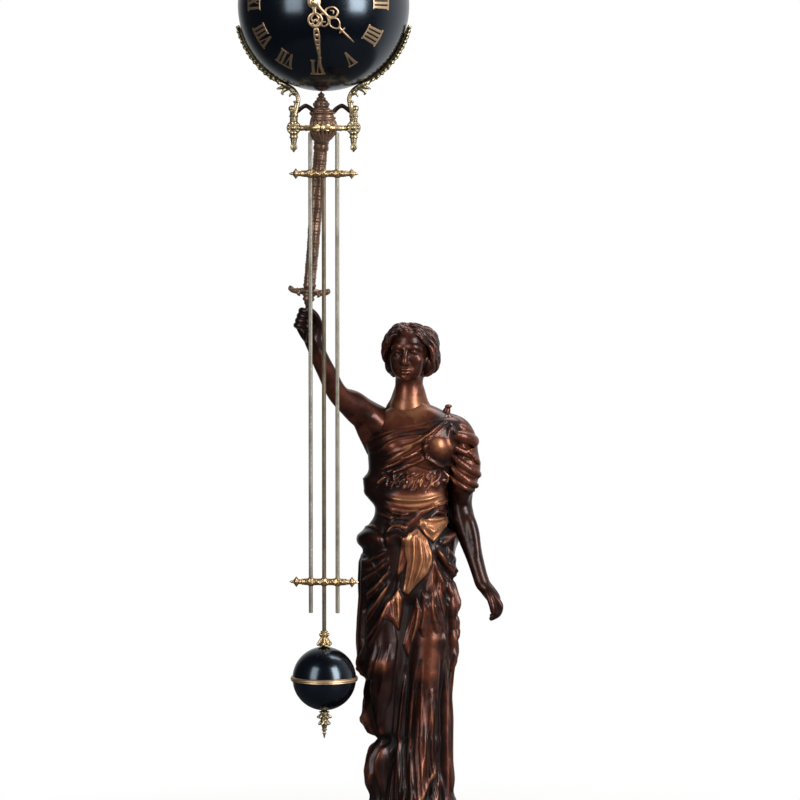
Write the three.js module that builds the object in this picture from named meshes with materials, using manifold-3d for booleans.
// Mechanical table clock. A standing bronze figure holds up a staff. On top of the staff a ball
// clock and a long pendulum balance on a knife edge and swing together as one rigid arm.
// Millimetres. Everything is drawn with x to the right, y up and z towards the viewer, and the
// whole clock is turned at the end so that up is +Z and the dial faces -Y.
import * as THREE from "three";
import { mergeVertices } from "three/addons/utils/BufferGeometryUtils.js";
import createManifold from "manifold-3d";

const wasm = await createManifold();
wasm.setup();

// Clearance between neighbouring pieces
const GAP = 0.3;

// Base: felt, round plinth and the ground that the figure stands on
const FELT_THICKNESS = 1.5;
const FELT_INSET = 4;
const PLINTH_RADIUS = 82;
const PLINTH_HEIGHT = 21.5;
const GROUND_RADIUS = 58;
const GROUND_HEIGHT = 17;
const GROUND_Y = FELT_THICKNESS + PLINTH_HEIGHT;
const FOOT_Y = GROUND_Y + GROUND_HEIGHT;

// Tie rod that clamps the hollow skirt down to the base
const TIE_RADIUS = 3;
const TIE_NUT_ACROSS = 11;
const TIE_NUT_HEIGHT = 5;
const TIE_WASHER_RADIUS = 10;
const TIE_WASHER_THICKNESS = 1.6;
const TIE_THREAD = 14;

// Figure: heights above the foot plane
const SKIRT_WALL = 8;
const CAVITY_HEIGHT = 190;
const WAIST_HEIGHT = 246;
const NECK_HEIGHT = 327;
const PATTERN_WAIST = 246;
const PATTERN_NECK = 327;
const PATTERN_CROWN = 388.4;
const SPIGOT_RADIUS = 12;
const SPIGOT_DEPTH = 8;
const NECK_SPIGOT_RADIUS = 5;
const SKIRT_SIDES = 26;
const TORSO_SIDES = 24;
const BODY_FULLNESS = 0.85;
const LEG_SWELL = 4.5;
const LEG_PARTING = 5;
const KNEE_SWELL = 3;
const SEAT_ROLL = 4;
const FOLD_HOLLOW = 1.3;
const GIRDLE_HEIGHT = 267;
const GIRDLE_DEPTH = 2.4;
const BUST_HEIGHT = 295;
const BUST_DEPTH = 4.2;
const BACK_FOLD_COUNT = 9;
const BACK_FOLD_PITCH = 7.8;
const BACK_FOLD_SPREAD = 1.32;
const PLEAT_SINK = 4;
const CLOTH_TRIM = 40;

// Fist of the raised arm, and the staff it grips
const FIST_HEIGHT = 387.5;
const FIST = new THREE.Vector3(-74.9, FOOT_Y + FIST_HEIGHT, 50.5);
const STAFF_RISE = 135.5;
const STAFF_LEAN_SIDE = 9.7;
const STAFF_LEAN_BACK = 1.5;
const STEM_RADIUS = 2;
const STEM_BELOW = 9;
const CONE_START = 14;
const GUARD_SEAT = 22.5;
const GUARD_SEAT_RADIUS = 5.4;
const GUARD_HALF_LENGTH = 15.6;
const GUARD_HEIGHT = 4;
const SHAFT_LOW_RADIUS = 4;
const SHAFT_TOP_RADIUS = 5.7;
const SHAFT_TENON_RADIUS = 3;
const SHAFT_TENON = 6;

// Pivot head at the top of the staff
const HEAD_SHIFT = 1.5;
const HEAD_RADIUS = 8;
const HEAD_HEIGHT = 27;
const FINIAL_RADIUS = 5.6;
const FINIAL_HEIGHT = 11;
const PIVOT_RISE = 12;
const PIVOT_SHIFT = 3.2;
const PIVOT_FORWARD = 13;
const ARM_WIDTH = 5;
const ARM_HEIGHT = 6;
const ARM_NOSE = 5;
const ARM_TAIL = 17;
const SEAT_LIP = 0.8;

// Knife edge and the yoke that carries the swinging arm
const YOKE_THICKNESS = 5;
const YOKE_HALF_LENGTH = 22.5;
const YOKE_BAR_HEIGHT = 3.8;
const YOKE_EYE_HALF_WIDTH = 4.6;
const YOKE_EYE_TOP = 4;
const YOKE_EYE_BOTTOM = -7.4;
const KNIFE_HEIGHT = 3.6;
const KNIFE_HALF_WIDTH = 1.8;
const KNIFE_HALF_LENGTH = 2.2;
const BOSS_RADIUS = 5.2;
const BOSS_THICKNESS = 6.4;

// Pendulum rods, clamps and bob
const ROD_RADIUS = 1.55;
const ROD_SPACING = 10.1;
const OUTER_ROD_TOP = -3.2;
const MIDDLE_ROD_TOP = -31;
const UPPER_CLAMP_DROP = 34;
const LOWER_CLAMP_DROP = 340.5;
const CLAMP_HALF_LENGTH = 26;
const CLAMP_HEIGHT = 4.6;
const CLAMP_DEPTH = 5.4;
const BOB_RADIUS = 24;
const BOB_DROP = 413.5;
const BOB_BAND_RADIUS = 25.6;
const BOB_BAND_HEIGHT = 3.6;
const BOB_CUP_HEIGHT = 13;
const RATING_NUT_LENGTH = 21;
const ROD_IN_NUT = 9.5;
const RATING_TRAVEL = 3;
const OUTER_ROD_ABOVE_BOB = 25.5;
const OUTER_ROD_BOTTOM = BOB_RADIUS + OUTER_ROD_ABOVE_BOB - BOB_DROP;

// Ball clock
const BALL_RADIUS = 64;
const BALL_CLEARANCE = 27.5;
const BALL_RISE = BALL_RADIUS + BALL_CLEARANCE;
const SHELL_WALL = 1.6;
const SHELL_INSIDE = BALL_RADIUS - SHELL_WALL;
const BALL_SIDES = 30;
const DIAL_HOLE_RADIUS = 4.2;
const CRADLE_THICKNESS = 4.8;
const CRADLE_WIDTH = 10;
const CRADLE_LOW_ANGLE = 0.47;
const CRADLE_HIGH_ANGLE = 1.35;

// Movement: plates, pillars and mounting ring
const PLATE_RADIUS = BALL_RADIUS - 7;
const PLATE_THICKNESS = 1.6;
const FRONT_PLATE_Z = 11;
const BACK_PLATE_Z = -11.6;
const PILLAR_RADIUS = 2.5;
const PILLAR_CIRCLE = PLATE_RADIUS - 3;
const RING_INSIDE = PILLAR_CIRCLE - 3.5;
const RING_THICKNESS = 3;
const RING_CLEARANCE = 0.8;
const PIVOT_HOLE = 1.5;

// Train: modules, tooth counts and the angles at which the arbors stand
const GREAT_TEETH = 32;
const GREAT_MODULE = 1.32;
const CENTRE_TEETH = 24;
const CENTRE_MODULE = 1.125;
const THIRD_TEETH = 24;
const THIRD_MODULE = 1;
const PINION_LEAVES = 8;
const CANNON_MODULE = 1;
const CANNON_TEETH = 8;
const MINUTE_TEETH = 24;
const HOUR_MODULE = 0.8;
const MINUTE_LEAVES = 8;
const HOUR_TEETH = 32;
const BARREL_ANGLE = (225 / 180) * Math.PI;
const THIRD_ANGLE = (15 / 180) * Math.PI;
const ESCAPE_ANGLE = (135 / 180) * Math.PI;
const MINUTE_ANGLE = (-60 / 180) * Math.PI;
const BARREL_RADIUS = 19;
const ESCAPE_RADIUS = 8.6;
const ESCAPE_TEETH = 15;
const ANCHOR_RISE = 28.4;
const INNER_PENDULUM_LENGTH = 50;
const INNER_BOB_RADIUS = 8;

// Hands, measured along the ball from the hub
const MINUTE_HAND_LENGTH = 47;
const HOUR_HAND_LENGTH = 40;
const HAND_THICKNESS = 0.9;
const HOUR_HAND_LIFT = 1.6;
const MINUTE_HAND_LIFT = 4;
const MINUTE_HAND_TURN = (176 / 180) * Math.PI;
const HOUR_HAND_TURN = (136 / 180) * Math.PI;

// Winding key at the back of the ball
const WINDING_RADIUS = 2.5;
const KEY_HUB_RADIUS = 4;
const KEY_HALF_WIDTH = 11;
const KEY_LENGTH = 15;
const KEY_THICKNESS = 2.4;

const STAFF_TOP = FIST.clone().add(new THREE.Vector3(STAFF_LEAN_SIDE, STAFF_RISE, -STAFF_LEAN_BACK));
const HEAD_SEAT = STAFF_TOP.clone().add(new THREE.Vector3(HEAD_SHIFT, 0, 0));
const PIVOT = HEAD_SEAT.clone().add(new THREE.Vector3(PIVOT_SHIFT, PIVOT_RISE, PIVOT_FORWARD));

const bronze = material("bronze", 0x4a2f22, 0.45, 0.9);
const gilt = material("gilt_brass", 0xb08d4a, 0.35, 1);
const steel = material("steel", 0x9a9a94, 0.35, 1);
const enamel = material("enamel", 0x0c0e18, 0.12, 0.1);
const felt = material("felt", 0x2f3a2c, 0.95, 0);

function material(name, color, roughness, metalness) {
  const made = new THREE.MeshStandardMaterial({ color, roughness, metalness });
  made.name = name;
  return made;
}

// Keeps positions only, welds shared corners, drops collapsed triangles and turns the skin outward
function closed(geometry) {
  const bare = new THREE.BufferGeometry();
  bare.setAttribute("position", geometry.getAttribute("position").clone());
  if (geometry.index) {
    bare.setIndex(geometry.index.clone());
  }
  const welded = mergeVertices(bare, 1e-3);
  const corners = welded.getAttribute("position");
  const index = welded.index.array;
  const kept = [];
  let volume = 0;
  const a = new THREE.Vector3();
  const b = new THREE.Vector3();
  const c = new THREE.Vector3();
  for (let at = 0; at < index.length; at += 3) {
    const [i, j, k] = [index[at], index[at + 1], index[at + 2]];
    if (i !== j && j !== k && k !== i) {
      kept.push(i, j, k);
      a.fromBufferAttribute(corners, i);
      b.fromBufferAttribute(corners, j);
      c.fromBufferAttribute(corners, k);
      volume += a.dot(b.cross(c));
    }
  }
  welded.setIndex(volume < 0 ? kept.reverse() : kept);
  return welded;
}

function solidOf(geometry) {
  const skin = closed(geometry);
  return new wasm.Manifold(new wasm.Mesh({
    numProp: 3,
    vertProperties: new Float32Array(skin.getAttribute("position").array),
    triVerts: new Uint32Array(skin.index.array),
  }));
}

function geometryOf(solid) {
  const mesh = solid.getMesh();
  const geometry = new THREE.BufferGeometry();
  const corners = new Float32Array(mesh.numVert * 3);
  for (let vertex = 0; vertex < mesh.numVert; vertex += 1) {
    corners.set(mesh.vertProperties.subarray(vertex * mesh.numProp, vertex * mesh.numProp + 3), vertex * 3);
  }
  geometry.setAttribute("position", new THREE.BufferAttribute(corners, 3));
  geometry.setIndex(new THREE.BufferAttribute(mesh.triVerts, 1));
  return geometry;
}

function join(...parts) {
  return geometryOf(parts.map(solidOf).reduce((whole, part) => whole.add(part)));
}

function cut(body, ...tools) {
  return geometryOf(tools.map(solidOf).reduce((rest, tool) => rest.subtract(tool), solidOf(body)));
}

function moved(geometry, x, y, z) {
  return geometry.clone().translate(x, y, z);
}

// Turned about y; the profile runs [radius, height] from axis to axis, or closes on itself for a ring
function turned(profile, sides) {
  const points = profile.map(([radius, height]) => new THREE.Vector2(radius, height));
  return closed(new THREE.LatheGeometry(points, sides));
}

// Turned about z, the axis of the dial
function turnedToFront(profile, sides) {
  return turned(profile, sides).rotateX(Math.PI / 2);
}

function upright(radius, from, to, sides = 12) {
  return turned([[0, from], [radius, from], [radius, to], [0, to]], sides);
}

function axle(radius, from, to, sides = 12) {
  return turnedToFront([[0, from], [radius, from], [radius, to], [0, to]], sides);
}

function tube(inside, outside, from, to, sides = 16) {
  return turnedToFront([[inside, from], [outside, from], [outside, to], [inside, to], [inside, from]], sides);
}

// Flat plate in the x-y plane with its thickness along z
function plate(shape, from, to, curveSegments = 8) {
  const options = { depth: to - from, bevelEnabled: false, curveSegments };
  return closed(new THREE.ExtrudeGeometry(shape, options).translate(0, 0, from));
}

function outline(points) {
  return new THREE.Shape(points.map(([x, y]) => new THREE.Vector2(x, y)));
}

// Right half of an outline, mirrored to give the whole
function mirrored(half) {
  const other = half.filter(([x]) => x > 0).map(([x, y]) => [-x, y]).reverse();
  return outline([...half, ...other]);
}

function block(width, height, depth, x, y, z) {
  return new THREE.BoxGeometry(width, height, depth).translate(x, y, z);
}

// Closed skin over rings of points, with a fan at each end
function loft(rings) {
  const sides = rings[0].length;
  const spots = rings.flat();
  const index = [];
  for (let ring = 0; ring + 1 < rings.length; ring += 1) {
    for (let side = 0; side < sides; side += 1) {
      const a = ring * sides + side;
      const b = ring * sides + ((side + 1) % sides);
      index.push(a, b, b + sides, a, b + sides, a + sides);
    }
  }
  const last = (rings.length - 1) * sides;
  const middleOf = (ring) => ring.reduce((sum, spot) => sum.add(spot), new THREE.Vector3()).divideScalar(sides);
  spots.push(middleOf(rings[0]), middleOf(rings.at(-1)));
  for (let side = 0; side < sides; side += 1) {
    const next = (side + 1) % sides;
    index.push(spots.length - 2, next, side);
    index.push(spots.length - 1, last + side, last + next);
  }
  const geometry = new THREE.BufferGeometry().setFromPoints(spots);
  geometry.setIndex(index);
  return closed(geometry);
}

// Round or flattened bar along a smooth path; stations hold position, half width and half thickness
function limb(stations, across, sides, steps) {
  const spots = stations.map(([x, y, z]) => new THREE.Vector3(x, y, z));
  const curve = new THREE.CatmullRomCurve3(spots, false, "centripetal");
  const rings = [];
  for (let step = 0; step <= steps; step += 1) {
    const t = step / steps;
    const spot = curve.getPoint(t);
    const along = curve.getTangent(t);
    const thin = new THREE.Vector3().crossVectors(along, across).normalize();
    const wide = new THREE.Vector3().crossVectors(thin, along).normalize();
    const place = t * (stations.length - 1);
    const low = Math.min(Math.floor(place), stations.length - 2);
    const mix = place - low;
    const halfWide = stations[low][3] * (1 - mix) + stations[low + 1][3] * mix;
    const halfThin = stations[low][4] * (1 - mix) + stations[low + 1][4] * mix;
    rings.push(Array.from({ length: sides }, (_, side) => {
      const angle = (side / sides) * Math.PI * 2;
      return spot.clone()
        .addScaledVector(wide, halfWide * Math.cos(angle))
        .addScaledVector(thin, halfThin * Math.sin(angle));
    }));
  }
  return loft(rings);
}

// Smooth bell with height 1 at 0
function bell(x) {
  return Math.exp(-x * x);
}

// Eases from 0 at one value to 1 at another
function fade(from, to, x) {
  const t = THREE.MathUtils.clamp((x - from) / (to - from), 0, 1);
  return t * t * (3 - 2 * t);
}

// The figure is drawn to a pattern: height above the foot for a level on the pattern, and back again
function rise(level) {
  const torso = (NECK_HEIGHT - WAIST_HEIGHT) / (PATTERN_NECK - PATTERN_WAIST);
  if (level <= PATTERN_WAIST) return (level * WAIST_HEIGHT) / PATTERN_WAIST;
  if (level <= PATTERN_NECK) return WAIST_HEIGHT + (level - PATTERN_WAIST) * torso;
  return NECK_HEIGHT + level - PATTERN_NECK;
}

function levelOf(height) {
  const torso = (NECK_HEIGHT - WAIST_HEIGHT) / (PATTERN_NECK - PATTERN_WAIST);
  if (height <= WAIST_HEIGHT) return (height * PATTERN_WAIST) / WAIST_HEIGHT;
  if (height <= NECK_HEIGHT) return PATTERN_WAIST + (height - WAIST_HEIGHT) / torso;
  return PATTERN_NECK + height - NECK_HEIGHT;
}

// Body sections from the feet to the neck: level, centre x, half width, centre z, half depth
const BODY = [
  [0, -2.3, 43.5, -1, 39],
  [25, -2.5, 33, -1.4, 36],
  [50, -2.5, 33, -1.5, 33.3],
  [58, -1.6, 32.3, -1.5, 32.5],
  [67.5, 1.7, 28.8, -1.5, 31.5],
  [73, 1.1, 29.4, -1.5, 31.3],
  [77, -2.5, 32.7, -1.5, 31.2],
  [82, -3.8, 33.6, -1.5, 31],
  [99, -3.4, 32.5, -1.5, 30.5],
  [117, -3.8, 33.6, -1, 30.5],
  [129, -6, 36.7, -0.5, 30.5],
  [144, -4.8, 38.8, -0.5, 30],
  [160, -3.7, 37.8, -0.5, 29.5],
  [172, -2, 38.6, -0.8, 29.3],
  [190, -4.6, 35.1, -1, 29],
  [209, -3.4, 36.3, -1.3, 29.3],
  [221, -3.4, 37.1, -1.5, 29.5],
  [227, -3.1, 33.6, -1.8, 27.8],
  [233, -4, 28.8, -2, 25.8],
  [239.5, -1.5, 27.5, -1.4, 23.5],
  [PATTERN_WAIST, -0.4, 27.1, -0.5, 20.8],
  [252, -1.5, 28.3, 0.1, 20.1],
  [264, -2.1, 29.6, 1, 21],
  [276, -0.4, 30.9, 1, 21.9],
  [288, 0.4, 32.5, 1.3, 23],
  [294, 0.4, 34.8, 1.5, 23.4],
  [300.5, 1.5, 35.1, 0.3, 22.3],
  [306.5, 5, 36.3, -0.6, 20.9],
  [312.5, 5, 33.2, -1.3, 18],
  [319, 2.7, 24.8, -1.2, 15],
  [323.5, 1.5, 16.8, -1, 12.4],
  [PATTERN_NECK, 0.8, 11.5, -1, 11],
];

// Head and hair above the neck joint, in the same terms
const HEAD = [
  [PATTERN_NECK, 0.8, 11.5, -1, 11],
  [334, 0.2, 9.8, -1, 10.4],
  [340, -0.6, 11, -0.5, 12.5],
  [345, -1.4, 15, 0, 16.5],
  [352, -2.2, 19.5, -0.5, 19.5],
  [361, -2.4, 21.6, -1, 21],
  [370, -2.6, 20.8, -1.4, 21],
  [379, -2.8, 17.8, -1.8, 18.4],
  [385, -3, 12.6, -2, 13.6],
  [PATTERN_CROWN, -3, 6, -2, 7],
];

// Section at a level, eased between the two stations around it
function section(stations, level) {
  const above = stations.findIndex(([station]) => station >= level);
  const high = above < 1 ? 1 : above;
  const [low, top] = [stations[high - 1], stations[high]];
  const mix = THREE.MathUtils.clamp((level - low[0]) / (top[0] - low[0]), 0, 1);
  const soft = mix * 0.5 + fade(0, 1, mix) * 0.5;
  return low.slice(1).map((value, at) => value * (1 - soft) + top[at + 1] * soft);
}

// How far the broad forms stand off the plain body; the angle is 0 at the front and grows to the right
function drapery(angle, level) {
  const behind = fade(1.3, 1.8, Math.abs(angle));
  const hollows = -FOLD_HOLLOW * fade(190, 110, level);
  const rightLeg = bell((angle - 0.16 - 0.41 * fade(0, 150, level)) / 0.31)
    * fade(216, 150, level) * fade(-20, 70, level);
  const leftLeg = bell((angle + 0.33 + 0.25 * fade(135, 84, level)) / 0.27)
    * fade(215, 180, level) * fade(82, 118, level);
  const parting = bell((angle + 0.22 - 0.31 * fade(0, 172, level)) / 0.18)
    * fade(172, 130, level) * fade(-15, 55, level);
  const rightKnee = bell((angle - 0.49) / 0.25) * bell((level - 130) / 16);
  const leftKnee = bell((angle + 0.4) / 0.2) * bell((level - 129) / 7);
  const seat = SEAT_ROLL * behind * bell((level - 207 - 13 * Math.sin(angle) ** 2) / 6);
  const girdle = GIRDLE_DEPTH * bell((level - GIRDLE_HEIGHT) / 9);
  const belly = 1.6 * bell(angle / 0.35) * bell((level - 255) / 12);
  const busts = (bell((angle - 0.69) / 0.29) + bell((angle + 0.25) / 0.28)) * bell((level - BUST_HEIGHT) / 10);
  return hollows + LEG_SWELL * (rightLeg + leftLeg) - LEG_PARTING * parting
    + KNEE_SWELL * (rightKnee + leftKnee) + seat + girdle + belly + BUST_DEPTH * busts;
}

// Hair stands off the skull, the face is a plain oval with brow, nose and chin
function headRelief(angle, level) {
  const side = Math.abs(angle);
  const hair = Math.max(fade(0.95, 1.25, side) * fade(341, 350, level), fade(374, 379, level));
  const curls = 1.1 * hair * Math.cos(9 * angle) * Math.cos((level - 350) / 3.2);
  const nose = 3.4 * bell(angle / 0.14) * fade(366, 357, level) * fade(352.6, 355, level);
  const sockets = -1.4 * bell((side - 0.36) / 0.2) * bell((level - 363.5) / 2.6);
  const mouth = 0.9 * bell(angle / 0.3) * bell((level - 350.4) / 1.6);
  const chin = 2 * bell(angle / 0.4) * bell((level - 345.4) / 2.4);
  return (1 - hair) * (nose + sockets + mouth + chin) + curls;
}

const PLAIN = () => 0;
const FIGURE = { stations: BODY, relief: drapery, fullness: BODY_FULLNESS };
const CORE = { stations: BODY, relief: PLAIN, fullness: BODY_FULLNESS };
const SKULL = { stations: HEAD, relief: headRelief, fullness: 1 };

// Point of a form at a height and at an angle round it
function skinSpot(form, angle, height, grow) {
  const level = levelOf(height);
  const [x, halfWidth, z, halfDepth] = section(form.stations, level);
  const out = grow + form.relief(angle, level);
  const full = (share) => Math.sign(share) * Math.abs(share) ** form.fullness;
  const across = (halfWidth + out) * full(Math.sin(angle));
  const forward = (halfDepth + out) * full(Math.cos(angle));
  return new THREE.Vector3(x + across, FOOT_Y + height, z + forward);
}

function ring(form, height, sides, grow) {
  return Array.from({ length: sides }, (_, side) => {
    const angle = (side / sides) * Math.PI * 2;
    return skinSpot(form, angle > Math.PI ? angle - Math.PI * 2 : angle, height, grow);
  });
}

function column(form, heights, sides, grow = 0) {
  return loft(heights.map((height) => ring(form, height, sides, grow)));
}

function evenly(from, to, steps) {
  return Array.from({ length: steps + 1 }, (_, step) => from + ((to - from) * step) / steps);
}

// Heights of the body's own stations from one level to another
function stationHeights(from, to) {
  return BODY.map(([level]) => level).filter((level) => level >= from && level <= to).map(rise);
}

// Angle round the body at which a level has a given x, in front (facing 1) or behind (facing -1)
function angleAt(x, level, facing) {
  const [middle, halfWidth] = section(BODY, level);
  const share = THREE.MathUtils.clamp((x - middle) / halfWidth, -0.97, 0.97);
  const angle = Math.asin(Math.sign(share) * Math.abs(share) ** (1 / BODY_FULLNESS));
  return facing > 0 ? angle : Math.sign(angle) * Math.PI - angle;
}

// Soft roll (round back) or fold (sharp crest) laid on the cloth along a line of [x, level] points
function pleat([halfWidth, lift, ...line], round, facing, grow) {
  const marks = line.map(([x, level]) => {
    const height = rise(level);
    const angle = angleAt(x, level, facing);
    const spot = skinSpot(FIGURE, angle, height, 0);
    const out = skinSpot(CORE, angle, height, 1).sub(skinSpot(CORE, angle, height, 0)).normalize();
    return { spot, out };
  });
  const rings = marks.map(({ spot, out }, at) => {
    const next = marks[Math.min(at + 1, marks.length - 1)].spot;
    const along = next.clone().sub(marks[Math.max(at - 1, 0)].spot).normalize();
    const side = new THREE.Vector3().crossVectors(out, along).normalize();
    const taper = Math.sin(Math.PI * (0.12 + (0.76 * at) / (marks.length - 1)));
    const half = halfWidth * taper + grow;
    const high = lift * taper + grow;
    const deep = PLEAT_SINK + (half * half) / 45;
    const profile = round
      ? [[half, -deep], [half * 0.6, high * 0.8], [-half * 0.6, high * 0.8], [-half, -deep]]
      : [[half, -deep], [0, high], [-half, -deep]];
    return profile.map(([u, v]) => spot.clone().addScaledVector(side, u).addScaledVector(out, v));
  });
  return loft(rings);
}

// Rolls and gathered ends of the cloth: half width, lift, then the line as x and level
const SKIRT_ROLLS = [
  [8, 3.6, [-39, 222], [-33, 224], [-25, 225], [-18, 223]],
  [8, 3.8, [-17, 222], [-12, 225], [-5, 226], [0, 224]],
  [6, 3.6, [9, 236], [18, 236], [28, 239], [34, 240]],
  [7.5, 3.6, [7, 230], [7, 217], [6, 205], [3, 194], [-1, 183]],
  [4.6, 3, [-8, 186], [-10, 174], [-11, 165], [-9, 155]],
  [4.4, 3, [6, 180], [5, 168], [2, 155], [0, 135]],
  [13, 2.2, [-26, 177], [-24, 146], [-25, 108], [-31, 78]],
  [3.6, 2.8, [-36, 80], [-30, 83], [-24, 87]],
  [4, 3, [31, 217], [33, 206], [31, 194], [35, 178], [31, 167], [34, 155], [31, 142], [32, 131], [29, 121]],
];

// Folds of the front of the skirt in the same terms: straps, thighs, then the long falls to the hem
const SKIRT_FOLDS = [
  [3, 3, [-6, 231], [7, 241], [14, 246]],
  [2.8, 2.8, [0, 227], [12, 237], [20, 244]],
  [3, 2, [12, 185], [12, 169], [10, 153]],
  [2.6, 2.2, [-15, 213], [-24, 210], [-34, 203]],
  [2.6, 2.2, [-14, 206], [-22, 199], [-32, 187]],
  [2.6, 2.2, [-14, 197], [-21, 187], [-30, 171]],
  [2.6, 2.2, [-13, 187], [-19, 174], [-27, 154]],
  [2.6, 2.2, [20, 215], [27, 204], [33, 187]],
  [2.6, 2.2, [18, 209], [23, 195], [28, 173]],
  [2.6, 2.2, [17, 203], [20, 185], [23, 159]],
  [3.4, 4, [25, 172], [26, 139], [27, 62], [31, 2]],
  [4.6, 3.8, [17, 108], [12, 66], [3, 2]],
  [4.4, 4, [-2, 128], [-5, 97], [-13, 2]],
  [4, 3.6, [-21, 119], [-24, 98], [-27, 80]],
  [5.4, 4.6, [-12, 71], [-21, 56], [-29, 32], [-36, 2]],
  [3.2, 3.4, [-28, 61], [-33, 36], [-40, 2]],
  [3, 3.8, [22, 58], [15, 39], [-2, 2]],
  [3, 3.6, [25, 44], [20, 24], [13, 2]],
  [3, 3.2, [31, 55], [34, 26], [40, 2]],
];

// Long folds of the back, falling from the seat and spreading towards the hem
const BACK_FOLDS = Array.from({ length: BACK_FOLD_COUNT }, (_, number) => {
  const top = BACK_FOLD_PITCH * (number - (BACK_FOLD_COUNT - 1) / 2) - 2.7;
  const hem = BACK_FOLD_SPREAD * top + 0.8;
  const sway = 1.8 * Math.sin(1.9 * number);
  const start = 199 - 9 * Math.cos(2.3 * number);
  return [4, 4.4, [top, start], [top + sway, 135], [(top + hem) / 2 - sway, 66], [hem, 2]];
});

// Folds of the bodice, in front and behind
const BODICE_FOLDS = [
  [2.4, 1.6, [26, 313], [12, 310], [-3, 307], [-17, 304], [-28, 299]],
  [3.4, 2.6, [22, 307], [9, 298], [-7, 288], [-20, 281]],
  [2.8, 2.4, [16, 296], [2, 289], [-24, 275]],
  [2.4, 2, [15, 287], [-1, 279], [-16, 273]],
  [2.6, 2, [15, 283], [26, 279], [33, 284]],
];
const BODICE_BACK_FOLDS = [
  [3.4, 2.4, [29, 309], [11, 296], [-12, 274], [-26, 261]],
  [3.2, 2.2, [20, 310], [-18, 282], [-28, 274]],
  [3.2, 2.2, [28, 291], [-6, 262], [-18, 254]],
];

function drapedSkirt(grow = 0) {
  const wide = GROUND_RADIUS * 2;
  const above = block(wide, CLOTH_TRIM, wide, 0, FOOT_Y + WAIST_HEIGHT + grow + CLOTH_TRIM / 2, 0);
  const below = block(wide, CLOTH_TRIM, wide, 0, FOOT_Y - CLOTH_TRIM / 2, 0);
  const cloth = join(
    column(FIGURE, stationHeights(0, PATTERN_WAIST), SKIRT_SIDES, grow),
    ...SKIRT_ROLLS.map((line) => pleat(line, true, 1, grow)),
    ...SKIRT_FOLDS.map((line) => pleat(line, false, 1, grow)),
    ...BACK_FOLDS.map((line) => pleat(line, false, -1, grow)),
  );
  return cut(cloth, above, below);
}

function drapedTorso(grow = 0) {
  return join(
    column(FIGURE, stationHeights(PATTERN_WAIST, PATTERN_NECK), TORSO_SIDES, grow),
    ...BODICE_FOLDS.map((line) => pleat(line, false, 1, grow)),
    ...BODICE_BACK_FOLDS.map((line) => pleat(line, false, -1, grow)),
  );
}

function skirtCasting() {
  const cavity = column(CORE, evenly(-1, CAVITY_HEIGHT, 5), 16, -SKIRT_WALL);
  const thread = upright(TIE_RADIUS + GAP, CAVITY_HEIGHT - 2, CAVITY_HEIGHT + TIE_THREAD + 1, 12);
  const top = FOOT_Y + WAIST_HEIGHT;
  const socket = upright(SPIGOT_RADIUS + GAP, top - SPIGOT_DEPTH - GAP, top + 1, 20);
  return cut(drapedSkirt(), cavity, moved(thread, 0, FOOT_Y, 0), socket);
}

function torsoCasting() {
  const waist = FOOT_Y + WAIST_HEIGHT;
  const neck = FOOT_Y + NECK_HEIGHT;
  const spigot = upright(SPIGOT_RADIUS, waist - SPIGOT_DEPTH, waist + 2, 20);
  const socket = upright(NECK_SPIGOT_RADIUS + GAP, neck - SPIGOT_DEPTH - GAP, neck + 1, 14);
  return cut(join(drapedTorso(), spigot), socket);
}

function headCasting() {
  const neck = FOOT_Y + NECK_HEIGHT;
  const spigot = upright(NECK_SPIGOT_RADIUS, neck - SPIGOT_DEPTH, neck + 2, 14);
  return join(column(SKULL, evenly(NECK_HEIGHT, rise(PATTERN_CROWN), 15), 22), spigot);
}

// Frame whose y axis runs up the staff from the middle of the fist
function staffFrame() {
  const up = STAFF_TOP.clone().sub(FIST).normalize();
  const side = new THREE.Vector3(1, 0, 0).addScaledVector(up, -up.x).normalize();
  const front = new THREE.Vector3().crossVectors(side, up);
  return new THREE.Matrix4().makeBasis(side, up, front).setPosition(FIST);
}

const STAFF_LENGTH = STAFF_TOP.distanceTo(FIST);
const STAFF_FRAME = staffFrame();

// One finger bent round the stem at a given height
function curledFinger(height, radius) {
  const reach = STEM_RADIUS + GAP + radius;
  const stations = Array.from({ length: 7 }, (_, at) => {
    const turn = -0.4 + at * 0.75;
    const swell = at === 6 ? 0.75 : 1;
    return [reach * Math.cos(turn), height, reach * Math.sin(turn), radius * swell, radius * swell];
  });
  return limb(stations, new THREE.Vector3(0, 1, 0), 6, 6);
}

function fist() {
  const fingers = [-6.6, -2.3, 2, 6.2].map((height, at) => curledFinger(height, 2.5 - at * 0.08));
  const palm = limb(
    [[3.5, -13, -2, 4.4, 4], [5, -6, -3, 7, 4.4], [5.4, 2, -3.2, 6.6, 4.2], [4.6, 8, -2.6, 4, 3]],
    new THREE.Vector3(0.3, 0, 1), 8, 5,
  );
  const thumb = limb(
    [[6, 0, -2, 2.6, 2.6], [6.6, 5, 2.6, 2.5, 2.4], [2.4, 8.6, 5.4, 2.2, 2], [-1.6, 9.4, 5, 1.4, 1.3]],
    new THREE.Vector3(0, 1, 0), 6, 5,
  );
  return join(palm, thumb, ...fingers).applyMatrix4(STAFF_FRAME);
}

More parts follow.
